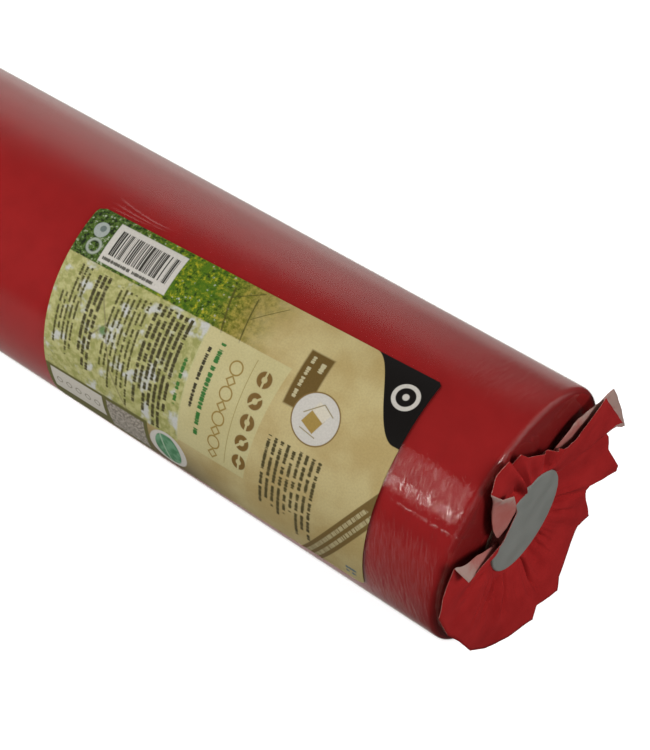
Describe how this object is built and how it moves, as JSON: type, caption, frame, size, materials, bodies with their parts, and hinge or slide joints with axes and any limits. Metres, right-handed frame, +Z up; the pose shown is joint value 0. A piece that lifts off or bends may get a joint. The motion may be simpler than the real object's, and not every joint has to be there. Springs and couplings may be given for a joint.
{
  "type": "table runner paper roll",
  "caption": "Coloured paper web wound on a board core, wrapped in clear film with a label, its ends closed by gathered paper rosettes held by push-in plugs.",
  "frame": {"origin": "on the axis of the core's bore, halfway along the roll", "axes": "+X along the roll towards its labelled end, +Z up from the flat it lies on, +Y to the back, away from the label's middle"},
  "size_m": [0.424, 0.1115, 0.1031],
  "materials": {
    "paper": "matte",
    "core_board": "matte",
    "film": "gloss",
    "label": "matte",
    "tape": "satin",
    "plug": "satin"
  },
  "bodies": {
    "roll": {"core_tube": "core_board", "paper_web": "paper", "tail_tape": "tape", "film_wrap": "film", "label": "label"},
    "near_sheet": {"near_rosette": "paper"},
    "near_stopper": {"near_plug": "plug"},
    "far_sheet": {"far_rosette": "paper"},
    "far_stopper": {"far_plug": "plug"}
  },
  "joints": [
    {"name": "near_rosette_pull", "type": "slide", "parent": "roll", "child": "near_sheet", "axis": [1, 0, 0], "range_m": [0, 0.1]},
    {"name": "near_plug_pull", "type": "slide", "parent": "near_sheet", "child": "near_stopper", "axis": [1, 0, 0], "range_m": [0, 0.05]},
    {"name": "far_rosette_pull", "type": "slide", "parent": "roll", "child": "far_sheet", "axis": [-1, 0, 0], "range_m": [0, 0.1]},
    {"name": "far_plug_pull", "type": "slide", "parent": "far_sheet", "child": "far_stopper", "axis": [-1, 0, 0], "range_m": [0, 0.05]}
  ]
}
